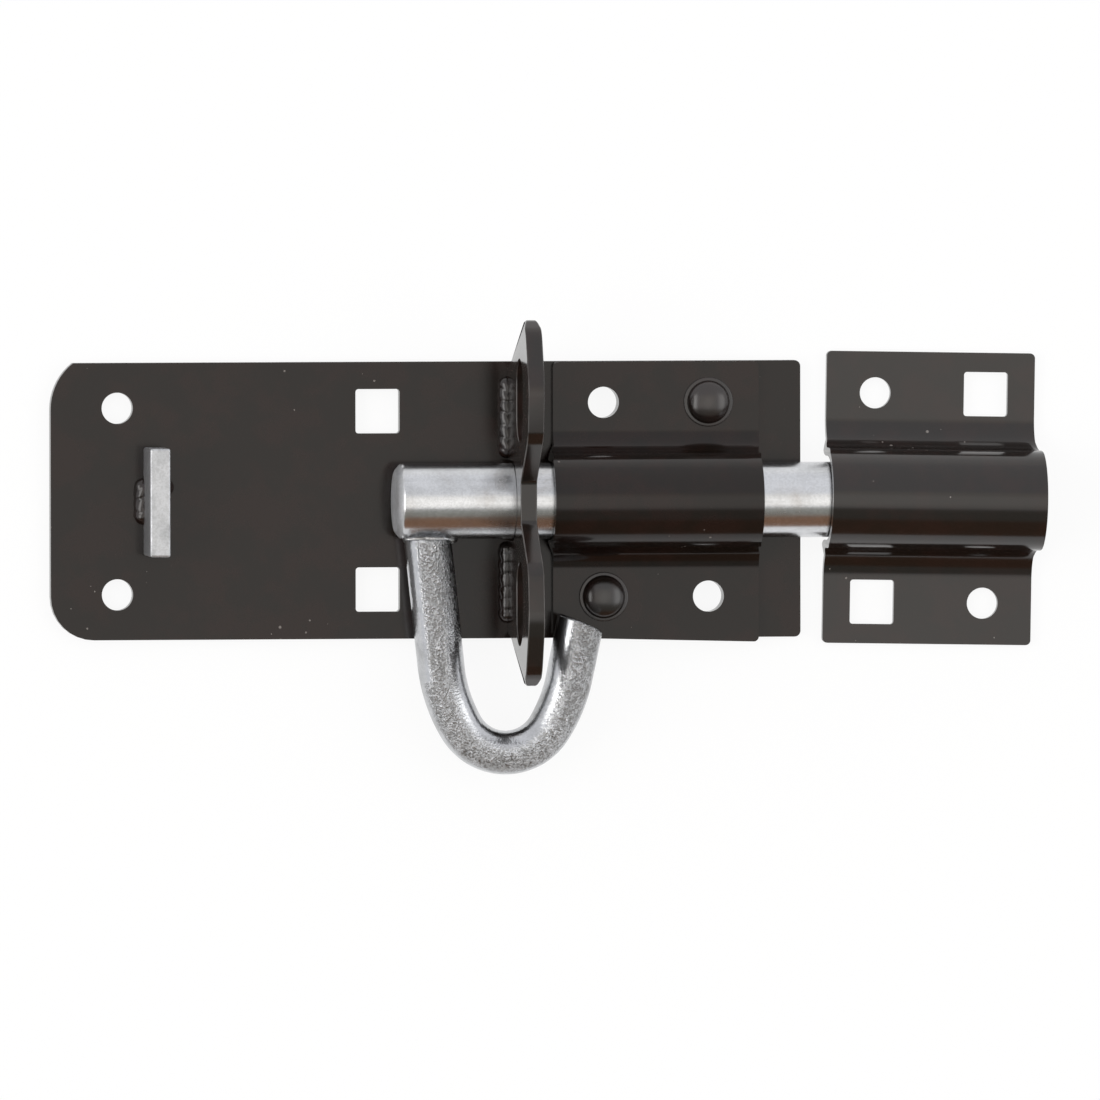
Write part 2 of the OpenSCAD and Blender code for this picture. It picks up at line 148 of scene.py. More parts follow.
class Graph:
    """Adds and links the nodes of one tree"""
    MIX_FIRST, MIX_SECOND, MIX_RESULT = 6, 7, 2

    def __init__(self, tree):
        self.tree = tree

    def put(self, socket, value):
        if isinstance(value, bpy.types.NodeSocket):
            self.tree.links.new(value, socket)
        elif value is not None:
            socket.default_value = value

    def add(self, kind, inputs=None, **settings):
        node = self.tree.nodes.new(kind)
        for key, value in settings.items():
            setattr(node, key, value)
        for key, value in (inputs or {}).items():
            self.put(node.inputs[key], value)
        return node

    def math(self, operation, *values, clamp=False):
        node = self.add("ShaderNodeMath", dict(enumerate(values)), operation=operation, use_clamp=clamp)
        return node.outputs[0]

    def times(self, first, *others):
        for other in others:
            first = self.math("MULTIPLY", first, other)
        return first

    def plus(self, first, second):
        return self.math("ADD", first, second)

    def minus(self, first, second):
        return self.math("SUBTRACT", first, second)

    def vector(self, operation, inputs):
        return self.add("ShaderNodeVectorMath", inputs, operation=operation).outputs[0]

    def ramp(self, value, start, end):
        """0 up to start, 1 beyond end, smooth between; it falls where start is above end"""
        node = self.add("ShaderNodeMapRange", {"Value": value, "From Min": start, "From Max": end},
                        interpolation_type="SMOOTHSTEP")
        return node.outputs["Result"]

    def mix(self, factor, first, second):
        node = self.add("ShaderNodeMix", data_type="RGBA")
        self.put(node.inputs["Factor"], factor)
        self.put(node.inputs[self.MIX_FIRST], first)
        self.put(node.inputs[self.MIX_SECOND], second)
        return node.outputs[self.MIX_RESULT]

    def noise(self, vector, scale, detail=2.0, roughness=0.5, distortion=0.0, seed=0.0):
        node = self.add("ShaderNodeTexNoise", {"Vector": vector, "Scale": scale, "Detail": detail, "W": seed,
                        "Roughness": roughness, "Distortion": distortion}, noise_dimensions="4D")
        return node.outputs[0]

    def attribute(self, name):
        """An attribute of the mesh, in a material"""
        return self.add("ShaderNodeAttribute", attribute_name=name).outputs["Fac"]

    def place(self):
        """The place on the piece, in a material"""
        return self.add("ShaderNodeTexCoord").outputs["Object"]


def opaque(rgb):
    return (*rgb, 1.0)


def new_group(name, inputs, outputs, kind="ShaderNodeTree"):
    """A node group with named inputs {name: (socket type, default)} and outputs {name: socket type}"""
    tree = bpy.data.node_groups.new(name, kind)
    for label, (socket, default) in inputs.items():
        item = tree.interface.new_socket(label, in_out="INPUT", socket_type="NodeSocket" + socket)
        if default is not None:
            item.default_value = default
    for label, socket in outputs.items():
        tree.interface.new_socket(label, in_out="OUTPUT", socket_type="NodeSocket" + socket)
    graph = Graph(tree)
    return graph, graph.add("NodeGroupInput").outputs, graph.add("NodeGroupOutput").inputs


def enamel_group():
    """Baked enamel: slow mottling, orange peel, grit and dust"""
    graph, given, out = new_group("Baked enamel", {
        "Colour": ("Color", (0.01, 0.01, 0.01, 1)), "Warm colour": ("Color", (0.02, 0.01, 0.01, 1)),
        "Dust colour": ("Color", (0.3, 0.3, 0.3, 1)), "Dust amount": ("Float", 0.5), "Seed": ("Float", 0.0)},
        {"Colour": "Color", "Roughness": "Float", "Height": "Float"})
    peel_height, speck_height, grit_reach = 0.12, 0.12, 0.16
    smoothest, mottled_more, speck_more = 0.09, 0.12, 0.3
    place, seed = graph.place(), given["Seed"]
    cloud = graph.noise(place, MOTTLE_SCALE, 4, 0.6, seed=seed)
    warm = graph.noise(place, WARM_SCALE, 3, 0.6, seed=graph.plus(seed, 3.0))
    tinted = graph.mix(graph.ramp(warm, 0.42, 0.62), given["Colour"], given["Warm colour"])
    grit = graph.add("ShaderNodeTexVoronoi", {"Vector": place, "Scale": GRIT_SCALE, "Randomness": 1.0})
    reach = graph.times(graph.ramp(cloud, 0.5, 0.72), grit_reach)
    speck = graph.times(graph.math("LESS_THAN", grit.outputs["Distance"], reach), given["Dust amount"])
    peel = graph.noise(place, PEEL_SCALE, 2, 0.5, seed=graph.plus(seed, 7.0))
    wave = graph.noise(place, WAVE_SCALE, 1, 0.4, seed=graph.plus(seed, 11.0))
    height = graph.plus(graph.times(peel, peel_height), wave)
    rough = graph.plus(graph.times(cloud, mottled_more), smoothest)
    graph.put(out["Colour"], graph.mix(speck, tinted, given["Dust colour"]))
    graph.put(out["Roughness"], graph.plus(rough, graph.times(speck, speck_more)))
    graph.put(out["Height"], graph.plus(height, graph.times(speck, speck_height)))
    return graph.tree


def zinc_group():
    """Zinc plate: streaks along the drawn bar, dull patches, a brown cast and a crinkled skin"""
    graph, given, out = new_group("Zinc plate", {
        "Colour": ("Color", (0.8, 0.8, 0.8, 1)), "Dull colour": ("Color", (0.5, 0.5, 0.5, 1)),
        "Stain colour": ("Color", (0.5, 0.4, 0.2, 1)), "Stain amount": ("Float", 0.2),
        "Streak stretch": ("Vector", (1, 1, 1)), "Pitting": ("Float", 0.5), "Crinkled": ("Float", 1.0),
        "Seed": ("Float", 0.0)},
        {"Colour": "Color", "Roughness": "Float", "Height": "Float"})
    most_dull, hollow_depth, streak_height = 0.8, 0.66, 0.3
    smoothest, dull_more, crinkled_more = 0.17, 0.12, 0.1
    place, seed = graph.place(), given["Seed"]
    along = graph.vector("MULTIPLY", {0: place, 1: given["Streak stretch"]})
    streak = graph.noise(along, STREAK_SCALE, 4, 0.65, seed=seed)
    patch = graph.noise(place, PATCH_SCALE, 4, 0.6, 0.6, seed=graph.plus(seed, 5.0))
    fine = graph.noise(place, FINE_CRINKLE, 2, 0.6, seed=graph.plus(seed, 9.0))
    coarse = graph.noise(place, COARSE_CRINKLE, 2, 0.5, 0.8, seed=graph.plus(seed, 13.0))
    dull = graph.times(graph.ramp(graph.times(graph.plus(streak, patch), 0.5), 0.42, 0.66), most_dull)
    plated = graph.mix(dull, given["Colour"], given["Dull colour"])
    cast = graph.times(graph.ramp(patch, 0.5, 0.78), given["Stain amount"])
    stained = graph.mix(cast, plated, given["Stain colour"])
    grain = graph.plus(graph.times(fine, 0.6), graph.times(coarse, 0.5))
    depth = graph.times(given["Pitting"], given["Crinkled"])
    hollow = graph.times(graph.ramp(grain, 0.62, 0.46), depth, hollow_depth)
    pits = graph.times(graph.ramp(grain, 0.4, 0.72), depth)
    rough = graph.plus(graph.times(dull, dull_more), graph.times(depth, crinkled_more))
    graph.put(out["Colour"], graph.mix(hollow, stained, HOLLOW_GREY))
    graph.put(out["Roughness"], graph.plus(rough, smoothest))
    graph.put(out["Height"], graph.plus(graph.times(streak, streak_height), pits))
    return graph.tree


def rim_and_highlight_group():
    """Lighter colour along the edges, partly thin enamel and partly a painted highlight: the mesh's own edge
    mask, broken up by noise
    """
    graph, given, out = new_group("Thin rim and painted highlight", {
        "Colour": ("Color", (0, 0, 0, 1)), "Rim and highlight colour": ("Color", (0.1, 0.1, 0.1, 1)),
        "Amount": ("Float", 0.5)}, {"Colour": "Color"})
    broken = graph.ramp(graph.noise(graph.place(), RIM_SCALE, 3, 0.6, seed=2.0), 0.32, 0.66)
    mask = graph.times(graph.attribute("edge"), given["Amount"], broken)
    graph.put(out["Colour"], graph.mix(mask, given["Colour"], given["Rim and highlight colour"]))
    return graph.tree


def shared(name, build):
    """A node group that is built once and then shared"""
    return bpy.data.node_groups.get(name) or build()


def place_group(graph, name, build, inputs):
    return graph.add("ShaderNodeGroup", inputs, node_tree=shared(name, build)).outputs


def new_material(name):
    """A material and its graph, or None for the graph if the material is there already"""
    material = bpy.data.materials.get(name)
    if material:
        return material, None
    material = bpy.data.materials.new(name)
    material.use_nodes = True
    material.node_tree.nodes.clear()
    return material, Graph(material.node_tree)


def finish_material(graph, height, strength, relief, inputs):
    """Ends a material with its bump and its shader"""
    bump = graph.add("ShaderNodeBump", {"Height": height, "Strength": strength, "Distance": relief})
    shader = graph.add("ShaderNodeBsdfPrincipled", {"Normal": bump.outputs["Normal"], **inputs})
    graph.add("ShaderNodeOutputMaterial", {"Surface": shader.outputs["BSDF"]})


def enamel(name, seed, dust_amount=0.55, rim_and_highlight_amount=0.7, gloss=0.33, haze=0.0):
    material, graph = new_material(name)
    if graph:
        tint = colours()
        coat = place_group(graph, "Baked enamel", enamel_group, {
            "Colour": opaque(tint.enamel), "Warm colour": opaque(tint.enamel_warm),
            "Dust colour": opaque(tint.dust), "Dust amount": dust_amount, "Seed": seed})
        # The lighter rims stand for thin enamel and also paint a highlight along the edges
        rim = place_group(graph, "Thin rim and painted highlight", rim_and_highlight_group, {
            "Colour": coat["Colour"], "Rim and highlight colour": opaque(tint.enamel_rim_and_highlight), "Amount": rim_and_highlight_amount})
        finish_material(graph, coat["Height"], 0.2, 0.12 * MM, {
            "Base Color": rim["Colour"], "Roughness": graph.plus(coat["Roughness"], haze),
            "IOR": 1.5, "Specular IOR Level": gloss})
    return material


def zinc(name, seed, stain_amount, pitting, relief, stretch=(1, 1, 1), crinkled=None, tone=1.0, matt=0.0):
    material, graph = new_material(name)
    if graph:
        tint, sawn_more = colours(), 0.45
        coat = place_group(graph, "Zinc plate", zinc_group, {
            "Colour": opaque(Vector(tint.zinc) * tone), "Dull colour": opaque(Vector(tint.zinc_dull) * tone),
            "Stain colour": opaque(Vector(tint.stain) * tone), "Stain amount": stain_amount,
            "Streak stretch": stretch, "Pitting": pitting, "Seed": seed,
            "Crinkled": graph.attribute(crinkled) if crinkled else None})
        sawn = graph.times(graph.attribute("sawn"), sawn_more)
        rough = graph.plus(graph.plus(coat["Roughness"], matt), sawn)
        finish_material(graph, coat["Height"], 1.0, relief, {
            "Base Color": coat["Colour"], "Roughness": rough, "Metallic": 1.0})
    return material


# Mesh work

def clamped(value):
    return min(1.0, max(0.0, value))


def eased(value):
    """0 below 0, 1 above 1, smooth between"""
    share = clamped(value)
    return share * share * (3 - 2 * share)


def circle(count):
    """Angles round a full turn"""
    return [2 * math.pi * k / count for k in range(count)]


def new_piece(name, mesh):
    piece = bpy.data.objects.new(name, mesh)
    bpy.context.collection.objects.link(piece)
    return piece


def merged_copy(node, name):
    """A piece with a CAD node's shape, its loose triangles merged into whole flat faces"""
    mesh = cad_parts[node].data.copy()
    mesh.materials.clear()
    work = bmesh.new()
    work.from_mesh(mesh)
    bmesh.ops.remove_doubles(work, verts=work.verts, dist=0.002 * MM)
    bmesh.ops.dissolve_limit(work, angle_limit=math.radians(0.4), verts=work.verts, edges=work.edges)
    work.to_mesh(mesh)
    work.free()
    return new_piece(name, mesh)


def applied(piece):
    """The piece with its modifiers worked into a plain mesh"""
    bpy.context.view_layer.update()
    mesh = bpy.data.meshes.new_from_object(piece.evaluated_get(bpy.context.evaluated_depsgraph_get()))
    mesh.name = piece.name
    piece.modifiers.clear()
    piece.data = mesh
    return piece


def soften_edges(piece, width, segments=3, sharp=28):
    """Rounds the sharp edges and marks the new faces in the attribute 'edge'"""
    unfinished = bpy.data.materials.get("Unfinished") or bpy.data.materials.new("Unfinished")
    for _ in range(2):
        piece.data.materials.append(unfinished)
    bevel = piece.modifiers.new("Rounded edges", "BEVEL")
    bevel.width = width
    bevel.segments = segments
    bevel.limit_method = "ANGLE"
    bevel.angle_limit = math.radians(sharp)
    bevel.material = 1
    bevel.miter_outer = "MITER_ARC"
    bevel.use_clamp_overlap = True
    piece.data.polygons.foreach_set("use_smooth", [True] * len(piece.data.polygons))
    normals = piece.modifiers.new("Flat faces stay flat", "WEIGHTED_NORMAL")
    normals.weight = 80
    mesh = applied(piece).data
    mark = mesh.attributes.new("edge", "FLOAT", "FACE")
    mark.data.foreach_set("value", [float(face.material_index == 1) for face in mesh.polygons])
    mesh.polygons.foreach_set("material_index", [0] * len(mesh.polygons))
    mesh.materials.clear()
    return piece


def mark_points(mesh, name, values):
    """Keeps one value for each vertex in an attribute"""
    mesh.attributes.new(name, "FLOAT", "POINT").data.foreach_set("value", values)


def finished(piece, material, slot, body, *nodes):
    """Gives a piece its material, and fixes it to its body in place of its CAD nodes; slot is not used"""
    piece.data.materials.clear()
    piece.data.materials.append(material)
    if nodes:
        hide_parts(*nodes)
    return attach(piece, body)


def smooth(mesh, limit):
    mesh.polygons.foreach_set("use_smooth", [True] * len(mesh.polygons))
    mesh.set_sharp_from_angle(angle=math.radians(limit))
    mesh.update()


def join_rings(work, rings, closed=False):
    """Faces between neighbouring rings of vertices, with caps at the ends of an open run"""
    count = len(rings[0])
    for first, second in list(zip(rings, rings[1:])) + ([(rings[-1], rings[0])] if closed else []):
        for i in range(count):
            j = (i + 1) % count
            work.faces.new((first[i], first[j], second[j], second[i]))
    if not closed:
        work.faces.new(rings[0])
        work.faces.new(reversed(rings[-1]))


def skin(rings):
    """A closed mesh over rings of points"""
    mesh = bpy.data.meshes.new("skin")
    work = bmesh.new()
    join_rings(work, [[work.verts.new(point) for point in ring] for ring in rings])
    bmesh.ops.remove_doubles(work, verts=work.verts, dist=0.001 * MM)
    bmesh.ops.dissolve_degenerate(work, edges=work.edges, dist=0.0005 * MM)
    bmesh.ops.recalc_face_normals(work, faces=work.faces)
    work.to_mesh(mesh)
    work.free()
    return mesh


# Pieces

class PADBOLT_OT_back_plate(bpy.types.Operator):
    """Back plate with rounded rims, in baked enamel"""
    bl_idname = "padbolt.back_plate"
    bl_label = "Back plate"

    def execute(self, context):
        plate = soften_edges(merged_copy("back_plate", "enamelled_back_plate"), sizes().plate_edge)
        finished(plate, enamel("Enamel of the plate", 1.0), "enamelled_plate", BASE_BODY, "back_plate")
        return {"FINISHED"}


class PADBOLT_OT_straps(bpy.types.Operator):
    """Guide strap and keeper, both pressed from sheet"""
    bl_idname = "padbolt.straps"
    bl_label = "Guide strap and keeper"

    def execute(self, context):
        strap = soften_edges(merged_copy("guide_strap", "pressed_guide_strap"), sizes().sheet_edge)
        finished(strap, enamel("Enamel of the strap", 2.0), "enamelled_strap", BASE_BODY, "guide_strap")
        keeper = soften_edges(merged_copy("keeper", "pressed_keeper"), sizes().sheet_edge)
        glossy = enamel("Enamel of the keeper", 3.0, gloss=0.56)
        finished(keeper, glossy, "enamelled_keeper", BASE_BODY, "keeper")
        return {"FINISHED"}


class PADBOLT_OT_staple_plate(bpy.types.Operator):
    """Staple plate on edge, with its two padlock eyes"""
    bl_idname = "padbolt.staple_plate"
    bl_label = "Staple plate"

    @staticmethod
    def lower_flanks(vertices):
        """The lobes fall away to the waist a little more softly than the solid's do"""
        inner, outer, foot, fall, drop = 8 * MM, 17.5 * MM, 27 * MM, 6 * MM, 2.2 * MM
        for vertex in vertices:
            across, up = abs(vertex.co.y), vertex.co.z - staple_low.z
            if inner < across < outer and up > foot:
                vertex.co.z -= drop * eased((outer - across) / fall)

    @staticmethod
    def grind_tips(vertices):
        """The tips are ground round across the sheet"""
        ground, thinned = 2 * MM, 0.45
        middle, tip = (staple_low.x + staple_high.x) / 2, max(vertex.co.y for vertex in vertices)
        for vertex in vertices:
            share = max(0.0, (abs(vertex.co.y) - tip + ground) / ground)
            vertex.co.x = middle + (vertex.co.x - middle) * (1 - thinned * share * share)

    def execute(self, context):
        staple = merged_copy("staple_plate", "sawn_staple_plate")
        self.lower_flanks(staple.data.vertices)
        soften_edges(staple, sizes().staple_edge)
        self.grind_tips(staple.data.vertices)
        glossy = enamel("Enamel of the staple plate", 4.0, gloss=0.55)
        finished(staple, glossy, "enamelled_staple", BASE_BODY, "staple_plate")
        return {"FINISHED"}


class PADBOLT_OT_stop_lug(bpy.types.Operator):
    """Stop lug, a short piece of zinc-plated flat bar"""
    bl_idname = "padbolt.stop_lug"
    bl_label = "Stop lug"

    def execute(self, context):
        lug = soften_edges(merged_copy("stop_lug", "sheared_stop_lug"), sizes().lug_edge)
        dull = zinc("Zinc of the lug", 4.0, stain_amount=0.12, pitting=0.25, relief=0.03 * MM,
                    stretch=(1, 1, 0.3), tone=0.87, matt=0.25)
        finished(lug, dull, "zinc_lug", BASE_BODY, "stop_lug")
        return {"FINISHED"}


class PADBOLT_OT_bolt(bpy.types.Operator):
    """Round bolt, turned, with a chamfer at each end"""
    bl_idname = "padbolt.bolt"
    bl_label = "Bolt"

    def execute(self, context):
        size = sizes()
        radius, chamfer, blend = size.bar_radius, size.bar_chamfer, 0.3 * MM
        steps, segments, on_face, on_chamfer = 120, 128, 1.0, 0.7
        # Distance from the end and radius, from the end face to the full bar
        half = [(0.0, radius - chamfer - 2 * blend), (0.03 * MM, radius - chamfer - blend),
                (blend * 0.5, radius - chamfer + blend * 0.1), (chamfer - blend, radius - blend * 1.1),
                (chamfer, radius - blend * 0.25), (chamfer + blend, radius)]
        left = [(bar_low.x + x, r) for x, r in half]
        right = [(bar_high.x - x, r) for x, r in reversed(half)]
        span = right[0][0] - left[-1][0]
        middle = [(left[-1][0] + span * i / steps, radius) for i in range(1, steps)]
        axis = (bar_low + bar_high) / 2
        mesh = skin([[Vector((x, axis.y + r * math.cos(a), axis.z + r * math.sin(a)))
                      for a in circle(segments)] for x, r in left + middle + right])
        smooth(mesh, 30)
        depths = [min(vertex.co.x - bar_low.x, bar_high.x - vertex.co.x) for vertex in mesh.vertices]
        mark_points(mesh, "sawn", [on_face if depth < 0.3 * blend else on_chamfer * float(depth < chamfer)
                                   for depth in depths])
        bar = new_piece("round_bolt", mesh)
        drawn = zinc("Zinc of the bolt", 1.0, stain_amount=0.2, pitting=0.15, relief=0.02 * MM,
                     stretch=(0.05, 1, 1), matt=0.02)
        finished(bar, drawn, "zinc_bolt", BOLT_BODY, "bolt_bar")
        return {"FINISHED"}


def ahead_of(heading):
    """Down the rod, whose heading turns from straight down towards the keeper"""
    return Vector((math.sin(heading), -math.cos(heading), 0))


def side_of(heading):
    """Across the rod, towards the inside of its bends"""
    return Vector((math.cos(heading), math.sin(heading), 0))


def handle_path(size):
    """Stations down the handle: place, heading and distance from the root"""
    step = 0.5 * MM
    tight_turn = math.pi - size.leg_lean - EASY_TURN - TIP_TURN - TIP_LEAN
    spans = ((size.leg_reach, None), (size.easy_radius * EASY_TURN, size.easy_radius),
             (size.tight_radius * tight_turn, size.tight_radius),
             (size.easy_radius * TIP_TURN, size.easy_radius), (size.tip_length, None))
    place, heading, run = Vector((0, 0, 0)), size.leg_lean, 0.0
    stations = []
    for span, radius in spans:
        count = max(2, round(span / step))
        for _ in range(count):
            stations.append((place.copy(), heading, run))
            turn = span / count / radius if radius else 0.0
            place += ahead_of(heading + turn / 2) * (span / count)
            heading += turn
            run += span / count
    stations.append((place, heading, run))
    return stations


def rod_rings(size, stations):
    """Rings of points round the handle, drawn down in its tight bend and slanted to meet its cut ends"""
    segments, drawn_span, settle, slanted = 72, 17 * MM, 14 * MM, 6 * MM
    skin_scale, skin_height = 260, 0.03
    bend_middle = size.leg_reach + size.easy_radius * EASY_TURN + size.tight_radius * HALF_TIGHT_TURN
    cut = size.bar_radius + 0.06 * MM
    first = next(run for _, _, run in stations if run >= cut)
    total = stations[-1][2]
    rings = []
    for place, heading, run in stations:
        if run < cut:
            continue
        ahead, side = ahead_of(heading), side_of(heading)
        nearness = math.exp(-((run - bend_middle) / drawn_span) ** 2)
        radius = size.rod_radius + (size.drawn_radius - size.rod_radius) * nearness
        ring = []
        for a in circle(segments):
            u, w = radius * math.cos(a), radius * math.sin(a)
            shift = 0.0
            if run < settle:
                reach = (cut + u * math.sin(heading)) / math.cos(heading)
                share = (settle - run) / (settle - first)
                shift = (reach - first) * share * share
            if run > total - slanted:
                share = (run - total + slanted) / slanted
                shift = u * math.tan(size.tip_slant) * share
            point = HANDLE_ROOT + place + ahead * shift + side * u + Vector((0, 0, w))
            out = side * math.cos(a) + Vector((0, 0, math.sin(a)))
            ring.append(point + out * noise.noise(point * skin_scale) * skin_height * MM)
        rings.append(ring)
    return rings


def rounded_rim(rim, outwards, steps):
    """Rings that round the rim of a cut end, each moved (in from the rim, back from the cut) in mm"""
    centre = sum(rim, Vector()) / len(rim)
    return [[point + (centre - point).normalized() * inset * MM - outwards * back * MM for point in rim]
            for inset, back in steps]


def mark_crinkled(mesh, stations):
    """Marks where the rod's skin crinkled, outside the bends and on the leg, in the attribute 'crinkled'"""
    leg_heading, least_crinkle, leg_more = 0.2, 0.06, 0.6
    inner_limit, inner_fade, leg_limit, bend_limit, outer_fade = 0.45, 0.6, -0.66, -0.97, 0.2
    fade_start, fade_span = 20 * MM, 10 * MM
    places = [HANDLE_ROOT + place for place, _, _ in stations]
    path = KDTree(len(places))
    for index, place in enumerate(places):
        path.insert(place, index)
    path.balance()
    values = []
    for vertex in mesh.vertices:
        place, index, _ = path.find(vertex.co)
        heading = stations[index][1]
        off = (vertex.co - place).normalized().dot(side_of(heading))
        leg = heading < leg_heading
        share = min((inner_limit - off) / inner_fade, (off - (leg_limit if leg else bend_limit)) / outer_fade)
        down = clamped((places[0].y - vertex.co.y - fade_start) / fade_span)
        least = least_crinkle + leg_more * (1 - down) if leg and off > 0 else least_crinkle
        values.append(least + (1 - least) * eased(share))
    mark_points(mesh, "crinkled", values)


class PADBOLT_OT_handle(bpy.types.Operator):
    """J-shaped handle, cut flat over the bolt and sawn off at its tip"""
    bl_idname = "padbolt.handle"
    bl_label = "Handle"

    def execute(self, context):
        size = sizes()
        stations = handle_path(size)
        rings = rod_rings(size, stations)
        rings[0:1] = rounded_rim(rings[0], Vector((0, 1, 0)), ((0.4, 0.0), (0.12, 0.1), (0.0, 0.4)))
        rim = rings[-1]
        outwards = (rim[1] - rim[0]).cross(rim[2] - rim[1]).normalized()
        if outwards.dot(ahead_of(stations[-1][1])) < 0:
            outwards.negate()
        rings[-1:] = rounded_rim(rim, outwards, ((0.0, 0.5), (0.1, 0.2), (0.3, 0.06), (0.55, 0.0)))
        mesh = skin(rings)
        smooth(mesh, 42)
        mark_crinkled(mesh, stations)
        handle = new_piece("bent_handle", mesh)
        skinned = zinc("Zinc of the handle", 2.0, stain_amount=0.12, pitting=1.0, relief=0.22 * MM,
                       crinkled="crinkled", tone=0.86)
        finished(handle, skinned, "zinc_handle", HANDLE_BODY, "handle")
        return {"FINISHED"}


def bead_strip(corners, name, closed=False):
    """A quarter-round bead along corner points (place, along the base, along the wall, radius, distance)"""
    across, sunk = 12, 0.05
    mesh = bpy.data.meshes.new(name)
    work = bmesh.new()
    along = work.verts.layers.float.new("along")
    over = work.verts.layers.float.new("over")
    rings = []
    for place, base, wall, radius, distance in corners:
        arc = [place + (base * math.cos(a) + wall * math.sin(a)) * radius
               for a in (math.pi / 2 * k / across for k in range(across + 1))]
        ring = [work.verts.new(point) for point in [place - (base + wall) * radius * sunk] + arc]
        for k, vertex in enumerate(ring):
            vertex[along] = distance
            vertex[over] = (k - 1) / across if k else -1.0
        rings.append(ring)
    join_rings(work, rings, closed)
    bmesh.ops.recalc_face_normals(work, faces=work.faces)
    work.to_mesh(mesh)
    work.free()
    return new_piece(name, mesh)


def finish_tree(graph, geometry, given, out):
    """Ends a geometry tree with plain meshes in its material"""
    real = graph.add("GeometryNodeRealizeInstances", {"Geometry": geometry})
    finish = graph.add("GeometryNodeSetMaterial", {
        "Geometry": real.outputs[0], "Material": given["Material"]})
    graph.put(out["Geometry"], finish.outputs[0])
    return graph.tree


def ripple_tree():
    """Raises ripples across a bead, bowed as the weld pool froze"""
    graph, given, out = new_group("Weld ripples", {
        "Geometry": ("Geometry", None), "Pitch": ("Float", 2 * MM), "Height": ("Float", 0.2 * MM),
        "Bow": ("Float", 0.5), "Unevenness": ("Float", 0.1 * MM), "Seed": ("Float", 0.0),
        "Material": ("Material", None)}, {"Geometry": "Geometry"}, "GeometryNodeTree")
    lump_scale, wander_scale, most_wander, crest_middle = 700, 260, 0.9, 0.6
    place = graph.add("GeometryNodeInputPosition").outputs[0]

    def stored(name):
        node = graph.add("GeometryNodeInputNamedAttribute", {"Name": name}, data_type="FLOAT")
        return node.outputs["Attribute"]

    def uneven(scale, detail):
        return graph.minus(graph.noise(place, scale, detail, seed=given["Seed"]), 0.5)

    along, over = stored("along"), stored("over")
    middle = graph.minus(over, 0.5)
    bow = graph.times(graph.times(middle, middle), graph.times(given["Bow"], 4.0))
    wander = graph.times(uneven(wander_scale, 1), most_wander)
    phase = graph.plus(graph.minus(graph.math("DIVIDE", along, given["Pitch"]), bow), wander)
    crest = graph.math("ABSOLUTE", graph.math("SINE", graph.times(phase, math.pi)))
    rise = graph.times(graph.minus(crest, crest_middle), given["Height"])
    lump = graph.times(uneven(lump_scale, 2), given["Unevenness"])
    outside = graph.math("GREATER_THAN", over, -0.5)
    lift = graph.times(graph.plus(rise, lump), outside)
    normal = graph.add("GeometryNodeInputNormal").outputs[0]
    offset = graph.vector("SCALE", {0: normal, "Scale": lift})
    moved = graph.add("GeometryNodeSetPosition", {"Geometry": given["Geometry"], "Offset": offset})
    return finish_tree(graph, moved.outputs[0], given, out)


def through_nodes(piece, tree, values):
    """Runs a piece through a geometry tree, with its inputs set by name, and keeps the plain mesh"""
    modifier = piece.modifiers.new(tree.name, "NODES")
    modifier.node_group = tree
    for item in tree.interface.items_tree:
        if item.item_type == "SOCKET" and item.in_out == "INPUT" and item.name in values:
            modifier[item.identifier] = values[item.name]
    return applied(piece)


def rippled(bead, material, height, bow, unevenness, seed):
    """Raises the ripples of a bead"""
    through_nodes(bead, shared("Weld ripples", ripple_tree), {
        "Pitch": sizes().bead_pitch, "Height": height, "Bow": bow, "Unevenness": unevenness,
        "Seed": seed, "Material": material})
    smooth(bead.data, 60)


def straight_bead(name, start, end, base, wall, radius):
    """A bead along a straight corner, with ends that taper into it"""
    spacing, least_radius = 0.14 * MM, 0.02 * MM
    run = end - start
    count = round(run.length / spacing)
    corners = []
    for i in range(count + 1):
        share = i / count
        edge = min(share, 1 - share) * run.length
        taper = math.sqrt(max(0.0, 1 - max(0.0, 1 - edge / radius) ** 2))
        place = start + run * share
        corners.append((place, base, wall, max(radius * taper, least_radius), run.length * share))
    return bead_strip(corners, name)


LEFT, RIGHT = -1, 1


def corner_weld(node, name, looks, inset, bow, unevenness, seed, from_top=False):
    """An enamelled bead in place of a CAD node, left or right of a part that stands on the plate"""
    size = sizes()
    material = enamel("Enamel of the welds", 5.0, dust_amount=0.3, gloss=0.6)
    low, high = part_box(node)
    face = high.x if looks == LEFT else low.x
    start, end = (Vector((face, y, plate_high.z)) for y in (low.y + inset, high.y - inset))
    if from_top:
        start, end = end, start
    bead = straight_bead(name, start, end, Vector((looks, 0, 0)), Vector((0, 0, 1)), size.bead_radius)
    rippled(bead, material, size.ripple_height, bow, unevenness, seed)
    finished(bead, material, "enamelled_weld", BASE_BODY, node)


class PADBOLT_OT_staple_welds(bpy.types.Operator):
    """Weld beads at the foot of the staple plate, under the enamel"""
    bl_idname = "padbolt.staple_welds"
    bl_label = "Staple plate welds"

    def execute(self, context):
        welds = (("staple_weld_upper_left", LEFT, True), ("staple_weld_upper_right", RIGHT, True),
                 ("staple_weld_lower_left", LEFT, False), ("staple_weld_lower_right", RIGHT, False))
        for seed, (node, looks, from_top) in enumerate(welds):
            corner_weld(node, node.replace("staple_weld", "bead"), looks, inset=0.15 * MM, bow=0.22,
                        unevenness=0.16 * MM, seed=float(seed), from_top=from_top)
        return {"FINISHED"}


